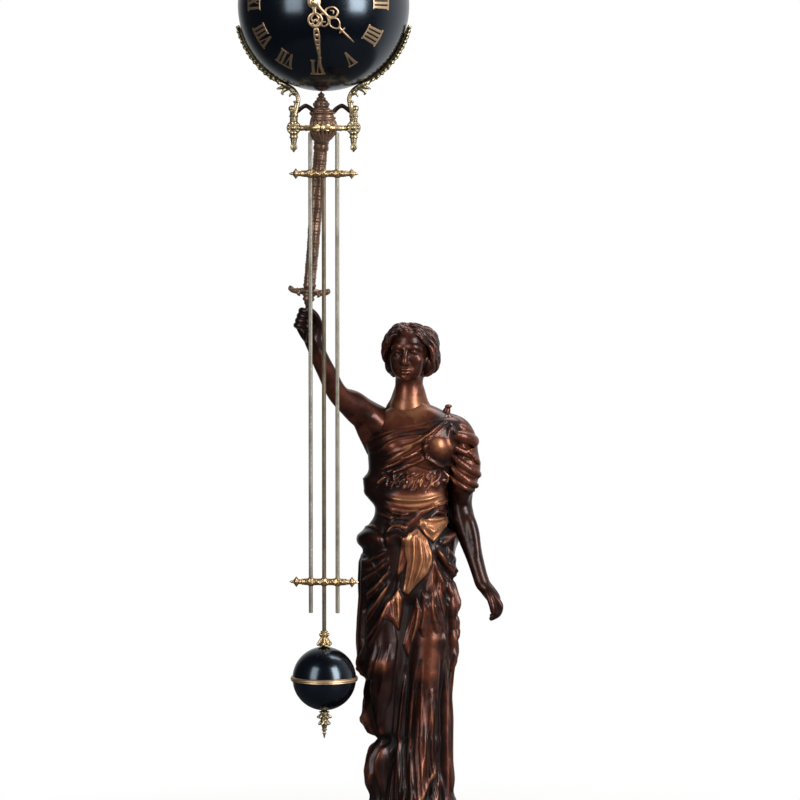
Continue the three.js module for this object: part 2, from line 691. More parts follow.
function raisedArm() {
  const y = FOOT_Y;
  const shoulder = y + rise(313.5);
  const up = (share) => shoulder + (FIST.y - shoulder) * share;
  const arm = limb(
    [
      [-20, y + rise(306), -4, 11, 11],
      [-31, shoulder, 2, 11, 11],
      [-43, up(0.155), 15, 9.4, 9.4],
      [-54, up(0.318), 28, 7.6, 7.6],
      [-61.5, up(0.507), 36.5, 7.2, 7],
      [-69.5, FIST.y - 17.5, 45, 5, 4.6],
      [-72, FIST.y - 10.5, 47.5, 5, 4.4],
    ],
    new THREE.Vector3(0.6, 0, 0.8), 10, 12,
  );
  const stem = upright(STEM_RADIUS + GAP, -STEM_BELOW - GAP, CONE_START + 4, 14).applyMatrix4(STAFF_FRAME);
  return cut(join(arm, fist()), drapedTorso(GAP), stem);
}

function loweredHand() {
  const wrist = FOOT_Y + rise(192);
  const across = new THREE.Vector3(0.35, 0.25, 0.9);
  const palm = limb(
    [[54, wrist, 4, 4.6, 3.6], [58, wrist - 8, 6, 6.6, 3.4], [63, wrist - 18, 7, 6.4, 2.6]], across, 8, 4,
  );
  const fingers = [[-4.6, 8], [-1.6, 9.6], [1.4, 9], [4.2, 7]].map(([shift, length]) => limb(
    [
      [62 + shift * 0.35, wrist - 16, 7 + shift, 1.9, 1.9],
      [65 + shift * 0.35, wrist - 16 - length * 0.7, 8 + shift, 1.7, 1.7],
      [65.4 + shift * 0.35, wrist - 16 - length * 1.4, 7.2 + shift, 1.2, 1.2],
    ],
    across, 6, 4,
  ));
  const thumb = limb(
    [[56, wrist - 5, 9, 2.3, 2.3], [58, wrist - 14, 14, 2.1, 2.1], [60, wrist - 22, 15.4, 1.3, 1.3]],
    across, 6, 4,
  );
  return join(palm, thumb, ...fingers);
}

function loweredArm() {
  const y = FOOT_Y;
  const arm = limb(
    [
      [28, y + rise(306), -4, 11.5, 11.5],
      [38, y + rise(302), -5, 12.5, 12],
      [41, y + rise(280), -7, 9.4, 9.6],
      [38.5, y + rise(248), -9, 8, 8.2],
      [44.5, y + rise(222), -4, 7.2, 7],
      [53, y + rise(194), 4, 4.5, 4],
      [55, y + rise(189), 5, 4.8, 4],
    ],
    new THREE.Vector3(0, 0, 1), 10, 12,
  );
  return cut(join(arm, loweredHand()), drapedTorso(GAP), drapedSkirt(GAP));
}

function feltPad() {
  return upright(PLINTH_RADIUS - FELT_INSET, 0, FELT_THICKNESS, 28);
}

function plinth() {
  const low = FELT_THICKNESS;
  const bore = TIE_RADIUS + GAP;
  const well = TIE_WASHER_RADIUS + 1;
  const wellTop = low + TIE_NUT_HEIGHT + TIE_WASHER_THICKNESS + 3;
  const rise = PLINTH_HEIGHT;
  return turned([
    [well, low], [PLINTH_RADIUS - 2, low], [PLINTH_RADIUS, low + 2], [PLINTH_RADIUS, low + 0.3 * rise],
    [PLINTH_RADIUS - 3, low + 0.36 * rise], [PLINTH_RADIUS - 5, low + 0.5 * rise],
    [PLINTH_RADIUS - 11, low + 0.68 * rise], [PLINTH_RADIUS - 13, low + 0.8 * rise],
    [PLINTH_RADIUS - 11, low + 0.86 * rise], [PLINTH_RADIUS - 11, low + 0.96 * rise],
    [PLINTH_RADIUS - 13, low + rise], [bore, low + rise], [bore, wellTop], [well, wellTop], [well, low],
  ], 28);
}

function figureGround() {
  const bore = TIE_RADIUS + GAP;
  const low = GROUND_Y;
  const top = FOOT_Y;
  return turned([
    [bore, low], [GROUND_RADIUS, low], [GROUND_RADIUS, low + 4], [GROUND_RADIUS - 3, low + 6.5],
    [GROUND_RADIUS - 5, top - 4], [GROUND_RADIUS - 8, top], [bore, top], [bore, low],
  ], 28);
}

// Lower end of the tie rod sits inside the nut, in the well under the plinth
const TIE_BOTTOM = FELT_THICKNESS + 1;
const WASHER_Y = FELT_THICKNESS + TIE_NUT_HEIGHT + 3;

function tieNut() {
  const hole = new THREE.Path().absarc(0, 0, TIE_RADIUS + GAP, 0, Math.PI * 2, true);
  const hex = outline(Array.from({ length: 6 }, (_, at) => {
    const angle = (at / 6) * Math.PI * 2;
    const corner = TIE_NUT_ACROSS / Math.sqrt(3);
    return [corner * Math.cos(angle), corner * Math.sin(angle)];
  }));
  hex.holes.push(hole);
  return plate(hex, 0, TIE_NUT_HEIGHT).rotateX(-Math.PI / 2).translate(0, WASHER_Y - TIE_NUT_HEIGHT, 0);
}

function tieWasher() {
  const bore = TIE_RADIUS + GAP;
  const top = WASHER_Y + TIE_WASHER_THICKNESS;
  return turned([
    [bore, WASHER_Y], [TIE_WASHER_RADIUS, WASHER_Y], [TIE_WASHER_RADIUS, top], [bore, top], [bore, WASHER_Y],
  ], 24);
}

function supportStaff() {
  const length = STAFF_LENGTH;
  const shaft = GUARD_SEAT + GUARD_HEIGHT + GAP;
  const beads = [];
  for (const share of [0.08, 0.9]) {
    const at = shaft + (length - shaft) * share;
    const radius = SHAFT_LOW_RADIUS + (SHAFT_TOP_RADIUS - SHAFT_LOW_RADIUS) * share;
    beads.push([radius, at - 1.6], [radius + 0.9, at], [radius, at + 1.6]);
  }
  return turned([
    [0, -STEM_BELOW], [STEM_RADIUS, -STEM_BELOW], [STEM_RADIUS, CONE_START], [GUARD_SEAT_RADIUS, GUARD_SEAT],
    [SHAFT_LOW_RADIUS, GUARD_SEAT], [SHAFT_LOW_RADIUS, shaft], ...beads, [SHAFT_TOP_RADIUS, length - 0.6],
    [SHAFT_TENON_RADIUS, length - 0.6], [SHAFT_TENON_RADIUS, length + SHAFT_TENON], [0, length + SHAFT_TENON],
  ], 12).applyMatrix4(STAFF_FRAME);
}

function staffGuard() {
  const middle = GUARD_SEAT + GAP + GUARD_HEIGHT / 2;
  const half = GUARD_HEIGHT / 2;
  const end = GUARD_HALF_LENGTH;
  const bar = limb(
    [
      [-end, middle + 2.6, 0, 0.9, 0.9], [-end * 0.8, middle, 0, 2, half - 0.4],
      [-end * 0.4, middle, 0, 2.6, half - 0.6], [0, middle, 0, 3, half - 0.2],
      [end * 0.4, middle, 0, 2.6, half - 0.6], [end * 0.8, middle, 0, 2, half - 0.4],
      [end, middle + 2.6, 0, 0.9, 0.9],
    ],
    new THREE.Vector3(0, 0, 1), 8, 10,
  );
  const collar = upright(SHAFT_LOW_RADIUS + 2.4, middle - half, middle + half, 16);
  const bore = upright(SHAFT_LOW_RADIUS + GAP, middle - half - 1, middle + half + 1, 16);
  return cut(join(bar, collar), bore).applyMatrix4(STAFF_FRAME);
}

// Fixed bar through the pivot head; the knife edge rests in the groove along its top
function armBlank(grow) {
  const low = -ARM_HEIGHT + SEAT_LIP;
  const length = ARM_NOSE + ARM_TAIL;
  const middle = (ARM_NOSE - ARM_TAIL) / 2;
  return block(ARM_WIDTH + 2 * grow, ARM_HEIGHT + 2 * grow, length + 2 * grow, 0, (low + SEAT_LIP) / 2, middle);
}

function pivotArm() {
  const groove = outline([[0, -GAP], [2.3, SEAT_LIP + 0.2], [-2.3, SEAT_LIP + 0.2]]);
  const channel = plate(groove, -KNIFE_HALF_LENGTH - 1, ARM_NOSE + 1);
  return moved(cut(armBlank(0), channel), PIVOT.x, PIVOT.y, PIVOT.z);
}

function pivotHead() {
  const { x, y, z } = HEAD_SEAT;
  const high = HEAD_HEIGHT;
  const vase = turned([
    [0, 0], [SHAFT_TOP_RADIUS + 0.6, 0], [SHAFT_TOP_RADIUS + 0.9, 1.6], [SHAFT_TOP_RADIUS - 0.6, 3.4],
    [HEAD_RADIUS - 1.4, 0.3 * high], [HEAD_RADIUS, 0.55 * high], [HEAD_RADIUS - 0.8, 0.72 * high],
    [HEAD_RADIUS + 1, 0.84 * high], [HEAD_RADIUS + 1, 0.92 * high], [FINIAL_RADIUS, high], [0, high],
  ], 16);
  const tenon = upright(SHAFT_TENON_RADIUS + 2 * GAP, -1, SHAFT_TENON + 1, 14);
  const slot = moved(armBlank(GAP), PIVOT.x, PIVOT.y, PIVOT.z);
  return cut(moved(vase, x, y, z), moved(tenon, x - HEAD_SHIFT + 0.25, y, z), slot);
}

function staffFinial() {
  const low = HEAD_HEIGHT;
  const r = FINIAL_RADIUS;
  const high = FINIAL_HEIGHT;
  return moved(turned([
    [0, low], [r - 1.2, low], [r, low + 0.18 * high], [r - 0.5, low + 0.42 * high],
    [r * 0.62, low + 0.72 * high], [r * 0.3, low + 0.93 * high], [0, low + high],
  ], 14), HEAD_SEAT.x, HEAD_SEAT.y, HEAD_SEAT.z);
}

function pivotYoke() {
  const bar = YOKE_BAR_HEIGHT / 2;
  const end = YOKE_HALF_LENGTH - BOSS_RADIUS - GAP;
  const shape = mirrored([
    [0, -11], [4, -10.4], [7.2, -6.5], [7.8, -bar - 0.6], [end, -bar], [end, bar], [8.8, bar + 0.4],
    [9.4, 8], [10.2, 12], [end, 14.4], [end, 16.4], [9.6, 14.6], [6.5, 13], [0, 13.4],
  ]);
  const eye = mirrored([
    [0, YOKE_EYE_BOTTOM],
    [YOKE_EYE_HALF_WIDTH - 1, YOKE_EYE_BOTTOM],
    [YOKE_EYE_HALF_WIDTH, YOKE_EYE_BOTTOM + 1],
    [YOKE_EYE_HALF_WIDTH, YOKE_EYE_TOP - 1], [YOKE_EYE_HALF_WIDTH - 1, YOKE_EYE_TOP], [0, YOKE_EYE_TOP],
  ]);
  const half = YOKE_THICKNESS / 2;
  const sockets = [-1, 1].map((side) => {
    return moved(upright(ROD_RADIUS + GAP, -8, OUTER_ROD_TOP + 2.4, 10), side * ROD_SPACING, 0, 0);
  });
  return cut(plate(shape, -half, half), plate(eye, -half - 1, half + 1), ...sockets);
}

function knifeEdge() {
  const shape = outline([
    [0, 0], [KNIFE_HALF_WIDTH, KNIFE_HEIGHT - 0.6], [KNIFE_HALF_WIDTH, KNIFE_HEIGHT],
    [-KNIFE_HALF_WIDTH, KNIFE_HEIGHT], [-KNIFE_HALF_WIDTH, KNIFE_HEIGHT - 0.6],
  ]);
  return plate(shape, -KNIFE_HALF_LENGTH, KNIFE_HALF_LENGTH);
}

// Turned spindle with a round boss, at either end of the yoke
function bracket(side) {
  const spindle = turned([
    [0, -16.2], [1.8, -15.4], [2.6, -13.6], [1.9, -11.6], [1.4, -10], [2.4, -6], [2.4, 5], [1.7, 7.4],
    [3.3, 9.8], [2, 12], [3.4, 14.6], [3.4, 16.4], [1.6, 18], [0, 18],
  ], 10);
  const boss = axle(BOSS_RADIUS, -BOSS_THICKNESS / 2, BOSS_THICKNESS / 2, 20);
  const button = axle(BOSS_RADIUS * 0.5, BOSS_THICKNESS / 2 - 1, BOSS_THICKNESS / 2 + 1.4, 12);
  return moved(join(spindle, boss, button), side * YOKE_HALF_LENGTH, 0, 0);
}

// Leaf arm that rises from a bracket and hugs the ball
function cradleArm(side) {
  const reach = BALL_RADIUS + GAP + CRADLE_THICKNESS / 2;
  const half = CRADLE_THICKNESS / 2;
  const wide = CRADLE_WIDTH / 2;
  const stations = [
    [side * YOKE_HALF_LENGTH, 18 + GAP, 0, 2.4, 2],
    [side * (YOKE_HALF_LENGTH - 2), 22.5, 0, 2.8, 2],
    [side * (YOKE_HALF_LENGTH + 1.5), 27, 0, 3.6, half - 0.2],
  ];
  for (let step = 0; step <= 5; step += 1) {
    const turn = CRADLE_LOW_ANGLE + 0.05 + ((CRADLE_HIGH_ANGLE - CRADLE_LOW_ANGLE - 0.05) * step) / 5;
    const slim = 1 - 0.5 * (step / 5) ** 2;
    const x = side * reach * Math.sin(turn);
    stations.push([x, BALL_RISE - reach * Math.cos(turn), 0, wide * slim, half * (1 - 0.3 * (step / 5))]);
  }
  const arm = limb(stations, new THREE.Vector3(0, 0, 1), 8, 14);
  const ball = turned(hemisphere(BALL_RADIUS + GAP, -1).concat(hemisphere(BALL_RADIUS + GAP, 1)), 40);
  const spindle = moved(upright(4, 10, 18 + GAP, 12), side * YOKE_HALF_LENGTH, 0, 0);
  return cut(arm, moved(ball, 0, BALL_RISE, 0), spindle);
}

// Quarter arc from pole to equator or back, as [radius, height] pairs
function hemisphere(radius, side, steps = 12) {
  return Array.from({ length: steps + 1 }, (_, step) => {
    const turn = (step / steps) * (Math.PI / 2);
    const lift = side > 0 ? turn : Math.PI / 2 - turn;
    return [step === (side > 0 ? steps : 0) ? 0 : radius * Math.cos(lift), side * radius * Math.sin(lift)];
  });
}

function rodBar(x, from, to) {
  return moved(upright(ROD_RADIUS, from, to, 12), x, 0, 0);
}

// Cross clamp with diamond ends that holds the three rods side by side
function clamp(drop, holes) {
  const half = CLAMP_HEIGHT / 2;
  const end = CLAMP_HALF_LENGTH;
  const shape = mirrored([
    [0, -half], [end - 9.5, -half], [end - 8.6, -1.2], [end - 7.6, -1.2], [end - 4.6, -3.2], [end, 0],
    [end - 4.6, 3.2], [end - 7.6, 1.2], [end - 8.6, 1.2], [end - 9.5, half], [0, half],
  ]);
  const bores = holes.map((x) => moved(upright(ROD_RADIUS + GAP, -half - 1, half + 1, 12), x, 0, 0));
  return moved(cut(plate(shape, -CLAMP_DEPTH / 2, CLAMP_DEPTH / 2), ...bores), 0, -drop, 0);
}

// Half of the bob, bored for the middle rod, with a step for the band at the equator
function bobHalf(side) {
  const bore = ROD_RADIUS + GAP;
  const band = BOB_BAND_HEIGHT / 2 + GAP;
  const seat = BOB_RADIUS - 2;
  const poleTurn = Math.acos(bore / BOB_RADIUS);
  const start = Math.asin(band / BOB_RADIUS);
  const arc = Array.from({ length: 7 }, (_, step) => {
    const turn = start + ((poleTurn - start) * step) / 6;
    return [BOB_RADIUS * Math.cos(turn), side * BOB_RADIUS * Math.sin(turn)];
  });
  const low = side * (GAP / 2);
  return turned([[bore, low], [seat, low], [seat, side * band], ...arc, [bore, low]], 22);
}

function bobBand() {
  const inside = BOB_RADIUS - 2 + GAP;
  const half = BOB_BAND_HEIGHT / 2;
  const outside = BOB_BAND_RADIUS;
  return turned([
    [inside, -half], [outside - 0.8, -half], [outside, -half + 0.8],
    [outside, half - 0.8], [outside - 0.8, half],
    [inside, half], [inside, -half],
  ], 28);
}

function bobCup() {
  const bore = ROD_RADIUS + GAP;
  const low = BOB_RADIUS + GAP;
  const top = low + BOB_CUP_HEIGHT;
  return turned([
    [bore, low], [5.2, low], [5.2, low + 1.6], [4.2, low + 2.4],
    [4.8, low + 5], [3.2, low + 8], [2.9, top - 1.6],
    [3.4, top - 1], [3.4, top], [bore, top], [bore, low],
  ], 12);
}

function ratingNut() {
  const top = -BOB_RADIUS - GAP;
  const bore = ROD_RADIUS + GAP;
  const low = top - RATING_NUT_LENGTH;
  const floor = top - ROD_IN_NUT - RATING_TRAVEL - GAP;
  return turned([
    [bore, top], [4, top], [5.2, top - 2.4], [5, top - 4], [2.7, top - 6], [2.7, top - 8], [3.7, top - 9.4],
    [3.5, top - 11], [2.6, top - 13], [2.2, top - 16], [1, low + 1.5], [0, low], [0, floor],
    [bore, floor], [bore, top],
  ], 10);
}

const WINDING_SPOT = polar(((GREAT_TEETH + PINION_LEAVES) * GREAT_MODULE) / 2, BARREL_ANGLE);
const THIRD_SPOT = polar(((CENTRE_TEETH + PINION_LEAVES) * CENTRE_MODULE) / 2, THIRD_ANGLE);
const THIRD_TO_ESCAPE = ((THIRD_TEETH + PINION_LEAVES) * THIRD_MODULE) / 2;
const ESCAPE_SPOT = THIRD_SPOT.clone().add(polar(THIRD_TO_ESCAPE, ESCAPE_ANGLE));
const MINUTE_SPOT = polar(((CANNON_TEETH + MINUTE_TEETH) * CANNON_MODULE) / 2, MINUTE_ANGLE);
const ANCHOR_SPOT = new THREE.Vector2(0, ANCHOR_RISE);

function polar(radius, angle) {
  return new THREE.Vector2(radius * Math.cos(angle), radius * Math.sin(angle));
}

function at(geometry, spot) {
  return moved(geometry, spot.x, spot.y, 0);
}

function shell(side) {
  const seam = side * (GAP / 2);
  const hole = side > 0 ? DIAL_HOLE_RADIUS : 0;
  const arc = (radius, from, to, steps) => Array.from({ length: steps + 1 }, (_, step) => {
    const turn = from + ((to - from) * step) / steps;
    const across = radius * Math.cos(turn);
    return [across < 1e-6 ? 0 : across, side * radius * Math.sin(turn)];
  });
  const outer = arc(BALL_RADIUS, Math.asin(GAP / 2 / BALL_RADIUS), Math.acos(hole / BALL_RADIUS), 8);
  const inner = arc(SHELL_INSIDE, Math.acos(hole / SHELL_INSIDE), Math.asin(GAP / 2 / SHELL_INSIDE), 4);
  const loop = [...outer, ...inner, outer[0]];
  const skin = turnedToFront(loop, BALL_SIDES);
  if (side > 0) {
    return skin;
  }
  return cut(skin, at(axle(WINDING_RADIUS + 2 * GAP, -BALL_RADIUS - 1, seam - 30, 14), WINDING_SPOT));
}

function pillarSpots() {
  return [90, 210, 330].map((degrees) => polar(PILLAR_CIRCLE, (degrees / 180) * Math.PI));
}

function movementRing() {
  const outside = SHELL_INSIDE - RING_CLEARANCE;
  const ringBody = tube(RING_INSIDE, outside, -RING_THICKNESS / 2, RING_THICKNESS / 2, BALL_SIDES);
  const holes = pillarSpots().map((spot) => at(axle(PILLAR_RADIUS + GAP, -5, 5, 12), spot));
  return cut(ringBody, ...holes);
}

function discWithHoles(from, holes) {
  const rim = Array.from({ length: 36 }, (_, corner) => polar(PLATE_RADIUS, (corner / 36) * Math.PI * 2));
  const shape = new THREE.Shape(rim);
  for (const [spot, radius] of holes) {
    shape.holes.push(new THREE.Path().absarc(spot.x, spot.y, radius, 0, Math.PI * 2, true));
  }
  return plate(shape, from, from + PLATE_THICKNESS, 4);
}

const ORIGIN = new THREE.Vector2(0, 0);
const PIVOT_BORE = PIVOT_HOLE + GAP;

function frontPlate() {
  const disc = discWithHoles(FRONT_PLATE_Z, [
    [ORIGIN, PIVOT_BORE], [WINDING_SPOT, PIVOT_BORE], [THIRD_SPOT, PIVOT_BORE], [ESCAPE_SPOT, PIVOT_BORE],
    [ANCHOR_SPOT, PIVOT_BORE],
  ]);
  const top = FRONT_PLATE_Z + PLATE_THICKNESS;
  const stud = axle(1.2, top - 1, top + 9, 10);
  return join(disc, at(stud, MINUTE_SPOT));
}

function backPlate() {
  return discWithHoles(BACK_PLATE_Z, [
    [ORIGIN, PIVOT_BORE], [WINDING_SPOT, WINDING_RADIUS + GAP], [THIRD_SPOT, PIVOT_BORE],
    [ESCAPE_SPOT, PIVOT_BORE], [ANCHOR_SPOT, PIVOT_BORE],
  ]);
}

function pillar(spot) {
  return at(axle(PILLAR_RADIUS, BACK_PLATE_Z + PLATE_THICKNESS, FRONT_PLATE_Z, 12), spot);
}

// Gear with pointed, straight-sided teeth; a tooth stands at the phase angle
function gear(teeth, module, phase, bore, from, to) {
  const pitch = (Math.PI * 2) / teeth;
  const tip = (teeth / 2 + 0.75) * module;
  const root = (teeth / 2 - 1.15) * module;
  const corners = [];
  for (let tooth = 0; tooth < teeth; tooth += 1) {
    const middle = phase + tooth * pitch;
    for (const [radius, share] of [[root, -0.22], [tip, 0], [root, 0.22]]) {
      corners.push([radius * Math.cos(middle + share * pitch), radius * Math.sin(middle + share * pitch)]);
    }
  }
  const shape = outline(corners);
  if (bore > 0) {
    shape.holes.push(new THREE.Path().absarc(0, 0, bore, 0, Math.PI * 2, true));
  }
  return plate(shape, from, to, 8);
}

// Phase of a gear whose tooth gap must face a partner that stands at the given angle from it
function facing(angle, teeth) {
  return angle + Math.PI / teeth;
}

const ARBOR_RADIUS = 2;
const FRONT_PIVOT_END = FRONT_PLATE_Z + PLATE_THICKNESS;
const HAND_PIPE_RADIUS = 2.3;
const HOUR_PIPE_RADIUS = 3.4;
const MOTION_Z = FRONT_PIVOT_END + 0.8;
const HOUR_HAND_Z = BALL_RADIUS + HOUR_HAND_LIFT;
const MINUTE_HAND_Z = BALL_RADIUS + MINUTE_HAND_LIFT;
const ARBOR_END = MINUTE_HAND_Z + HAND_THICKNESS + 3;

function arborWith(pivotRadius, from, to, radius = ARBOR_RADIUS) {
  const low = BACK_PLATE_Z;
  const shoulderLow = BACK_PLATE_Z + PLATE_THICKNESS + 0.4;
  const shoulderHigh = FRONT_PLATE_Z - 0.4;
  return turnedToFront([
    [0, Math.min(low, from)], [pivotRadius, Math.min(low, from)],
    [pivotRadius, shoulderLow], [radius, shoulderLow],
    [radius, shoulderHigh], [pivotRadius, shoulderHigh], [pivotRadius, to], [0, to],
  ], 10);
}

function centreArbor() {
  const pinion = gear(PINION_LEAVES, GREAT_MODULE, BARREL_ANGLE, 0, -9, -4.6);
  return join(arborWith(1.2, BACK_PLATE_Z, ARBOR_END), pinion);
}

function centreWheel() {
  return gear(CENTRE_TEETH, CENTRE_MODULE, THIRD_ANGLE, ARBOR_RADIUS + GAP, 8.6, 10.1);
}

function cannonPinion() {
  const pipe = tube(1.2 + GAP, HAND_PIPE_RADIUS, MOTION_Z, MINUTE_HAND_Z - GAP, 12);
  return join(pipe, gear(CANNON_TEETH, CANNON_MODULE, MINUTE_ANGLE, 1.9, MOTION_Z, MOTION_Z + 3));
}

function minuteWheel() {
  const toCentre = MINUTE_ANGLE + Math.PI;
  const bore = 1.2 + GAP;
  const turn = facing(toCentre, MINUTE_TEETH);
  const wheel = gear(MINUTE_TEETH, CANNON_MODULE, turn, bore, MOTION_Z + 0.6, MOTION_Z + 2);
  const pinion = gear(MINUTE_LEAVES, HOUR_MODULE, toCentre, bore, MOTION_Z + 2, MOTION_Z + 6.4);
  return at(join(wheel, pinion), MINUTE_SPOT);
}

function hourWheel() {
  const bore = HAND_PIPE_RADIUS + GAP;
  const turn = facing(MINUTE_ANGLE, HOUR_TEETH);
  const wheel = gear(HOUR_TEETH, HOUR_MODULE, turn, bore, MOTION_Z + 4, MOTION_Z + 5.4);
  return join(wheel, tube(bore, HOUR_PIPE_RADIUS, MOTION_Z + 4, HOUR_HAND_Z - GAP, 14));
}

function barrel() {
  const toCentre = BARREL_ANGLE + Math.PI;
  const bore = WINDING_RADIUS + GAP;
  const wheel = gear(GREAT_TEETH, GREAT_MODULE, facing(toCentre, GREAT_TEETH), bore, -7.6, -5.8);
  const drum = turnedToFront([
    [bore, -6], [BARREL_RADIUS, -6], [BARREL_RADIUS, 7.4],
    [BARREL_RADIUS - 1.4, 7.4], [BARREL_RADIUS - 1.4, -4],
    [bore, -4], [bore, -6],
  ], 20);
  return at(join(wheel, drum), WINDING_SPOT);
}

// Coiled mainspring between the winding arbor and the drum wall
function mainspring() {
  const turns = 3.2;
  const inner = WINDING_RADIUS + 1.2;
  const outer = BARREL_RADIUS - 2.6;
  const steps = 40;
  const edge = (shift) => Array.from({ length: steps + 1 }, (_, step) => {
    const share = step / steps;
    const spot = polar(inner + (outer - inner) * share + shift, share * turns * Math.PI * 2);
    return [spot.x, spot.y];
  });
  return at(plate(outline([...edge(0.4), ...edge(-0.4).reverse()]), -3.6, 6.4), WINDING_SPOT);
}

const KEY_START = -Math.sqrt(BALL_RADIUS ** 2 - (WINDING_SPOT.length() - KEY_HALF_WIDTH) ** 2) - 1.4;
const WINDING_END = KEY_START - 4;

function windingArbor() {
  return at(turnedToFront([
    [0, WINDING_END], [WINDING_RADIUS, WINDING_END], [WINDING_RADIUS, FRONT_PLATE_Z - 0.4],
    [PIVOT_HOLE, FRONT_PLATE_Z - 0.4], [PIVOT_HOLE, FRONT_PIVOT_END], [0, FRONT_PIVOT_END],
  ], 12), WINDING_SPOT);
}

function ratchetWheel() {
  const teeth = 18;
  const corners = [];
  for (let tooth = 0; tooth < teeth; tooth += 1) {
    const angle = (tooth / teeth) * Math.PI * 2;
    const next = angle + (0.86 / teeth) * Math.PI * 2;
    corners.push([7.4 * Math.cos(angle), 7.4 * Math.sin(angle)], [8.8 * Math.cos(next), 8.8 * Math.sin(next)]);
  }
  const shape = outline(corners);
  shape.holes.push(new THREE.Path().absarc(0, 0, WINDING_RADIUS + GAP, 0, Math.PI * 2, true));
  return at(plate(shape, BACK_PLATE_Z - 1.9, BACK_PLATE_Z - 0.4, 10), WINDING_SPOT);
}

const CLICK_SPOT = new THREE.Vector2(WINDING_SPOT.x + 3, WINDING_SPOT.y - 16);

// Click that drops between the ratchet teeth, on its own stud
function click() {
  const shape = outline([[-2.2, -1.8], [1.8, -2.2], [2.4, 0.6], [-5.4, 6.2], [-6.2, 5.2], [-2.6, 1.4]]);
  const post = axle(1.1, BACK_PLATE_Z - 1.9, BACK_PLATE_Z - 0.4, 8);
  return at(join(plate(shape, BACK_PLATE_Z - 1.9, BACK_PLATE_Z - 0.4), post), CLICK_SPOT);
}

function windingKey() {
  const wing = mirrored([
    [0, 0], [3, 0], [KEY_HALF_WIDTH - 3, 2], [KEY_HALF_WIDTH, 6], [KEY_HALF_WIDTH - 1, KEY_LENGTH - 3],
    [KEY_HALF_WIDTH - 4, KEY_LENGTH], [3.5, KEY_LENGTH - 2.5], [0, KEY_LENGTH - 4],
  ]);
  const flat = plate(wing, -KEY_THICKNESS / 2, KEY_THICKNESS / 2);
  const bow = flat.rotateX(-Math.PI / 2).translate(0, 0, WINDING_END - 1.4);
  const hub = axle(KEY_HUB_RADIUS, WINDING_END - 3, KEY_START, 14);
  const bore = axle(WINDING_RADIUS + GAP, WINDING_END - GAP, KEY_START + 1, 12);
  return at(cut(join(hub, bow), bore), WINDING_SPOT);
}

function thirdWheel() {
  const pinion = gear(PINION_LEAVES, CENTRE_MODULE, facing(THIRD_ANGLE + Math.PI, PINION_LEAVES), 0, 7.8, 10.4);
  const wheel = gear(THIRD_TEETH, THIRD_MODULE, ESCAPE_ANGLE, 0, 0, 1.5);
  return at(join(arborWith(PIVOT_HOLE, BACK_PLATE_Z, FRONT_PIVOT_END, 1.9), pinion, wheel), THIRD_SPOT);
}

function escapeWheel() {
  const toThird = ESCAPE_ANGLE + Math.PI;
  const pinion = gear(PINION_LEAVES, THIRD_MODULE, facing(toThird, PINION_LEAVES), 0, -1, 2.6);
  const corners = [];
  for (let tooth = 0; tooth < ESCAPE_TEETH; tooth += 1) {
    const angle = (tooth / ESCAPE_TEETH) * Math.PI * 2;
    const root = ESCAPE_RADIUS - 2.2;
    for (const [radius, turn] of [[root, 0], [ESCAPE_RADIUS, 0.12], [root, 0.2]]) {
      corners.push([radius * Math.cos(angle + turn), radius * Math.sin(angle + turn)]);
    }
  }
  const wheel = plate(outline(corners), 4.4, 5.8);
  return at(join(arborWith(PIVOT_HOLE, BACK_PLATE_Z, FRONT_PIVOT_END, 1.9), pinion, wheel), ESCAPE_SPOT);
}

// Anchor on its own arbor, which carries the small inner pendulum behind the back plate
function anchor() {
  const toWheel = Math.atan2(ESCAPE_SPOT.y - ANCHOR_RISE, ESCAPE_SPOT.x);
  const span = ESCAPE_SPOT.distanceTo(ANCHOR_SPOT);
  const tip = (turn, inset) => {
    const spot = polar(ESCAPE_RADIUS + 1 + inset, toWheel + Math.PI + turn);
    return [spot.x + ESCAPE_SPOT.x, spot.y + ESCAPE_SPOT.y - ANCHOR_RISE];
  };
  const across = polar(2, toWheel + Math.PI / 2);
  const shape = outline([
    [across.x, across.y], tip(-1.05, 2.2), tip(-1.05, 0), tip(-0.78, 0), tip(-0.6, 1.6), tip(0, 1.5),
    tip(0.6, 1.6), tip(0.78, 0), tip(1.05, 0), tip(1.05, 2.2), [-across.x, -across.y],
  ]);
  const arbor = arborWith(PIVOT_HOLE, -20, FRONT_PIVOT_END, 1.7);
  return span > 0 ? at(join(plate(shape, 4.4, 5.8), arbor), ANCHOR_SPOT) : arbor;
}

function innerPendulum() {
  const bore = PIVOT_HOLE + GAP;
  const low = -INNER_PENDULUM_LENGTH;
  const eye = tube(bore, 3.4, -18.6, -16.4, 14);
  const bar = block(1.8, -low - 2.6, 1.4, 0, low / 2 - 1.3, -17.5);
  const bob = turnedToFront([
    [0, -19.8], [INNER_BOB_RADIUS * 0.7, -19.4], [INNER_BOB_RADIUS, -17.5],
    [INNER_BOB_RADIUS * 0.7, -15.6], [0, -15.2],
  ], 20);
  return at(join(eye, bar, moved(bob, 0, low, 0)), ANCHOR_SPOT);
}

// Bends a flat hand, drawn pointing up, over the ball and turns it clockwise to its hour
function bentHand(flat, lift, turn) {
  const spots = flat.getAttribute("position");
  const spot = new THREE.Vector3();
  for (let vertex = 0; vertex < spots.count; vertex += 1) {
    spot.fromBufferAttribute(spots, vertex);
    const out = Math.hypot(spot.x, spot.y);
    const radius = BALL_RADIUS + lift + spot.z;
    const bend = out / (BALL_RADIUS + lift);
    const across = out > 0 ? (radius * Math.sin(bend)) / out : 0;
    spots.setXYZ(vertex, spot.x * across, spot.y * across, radius * Math.cos(bend));
  }
  return flat.rotateZ(-turn);
}

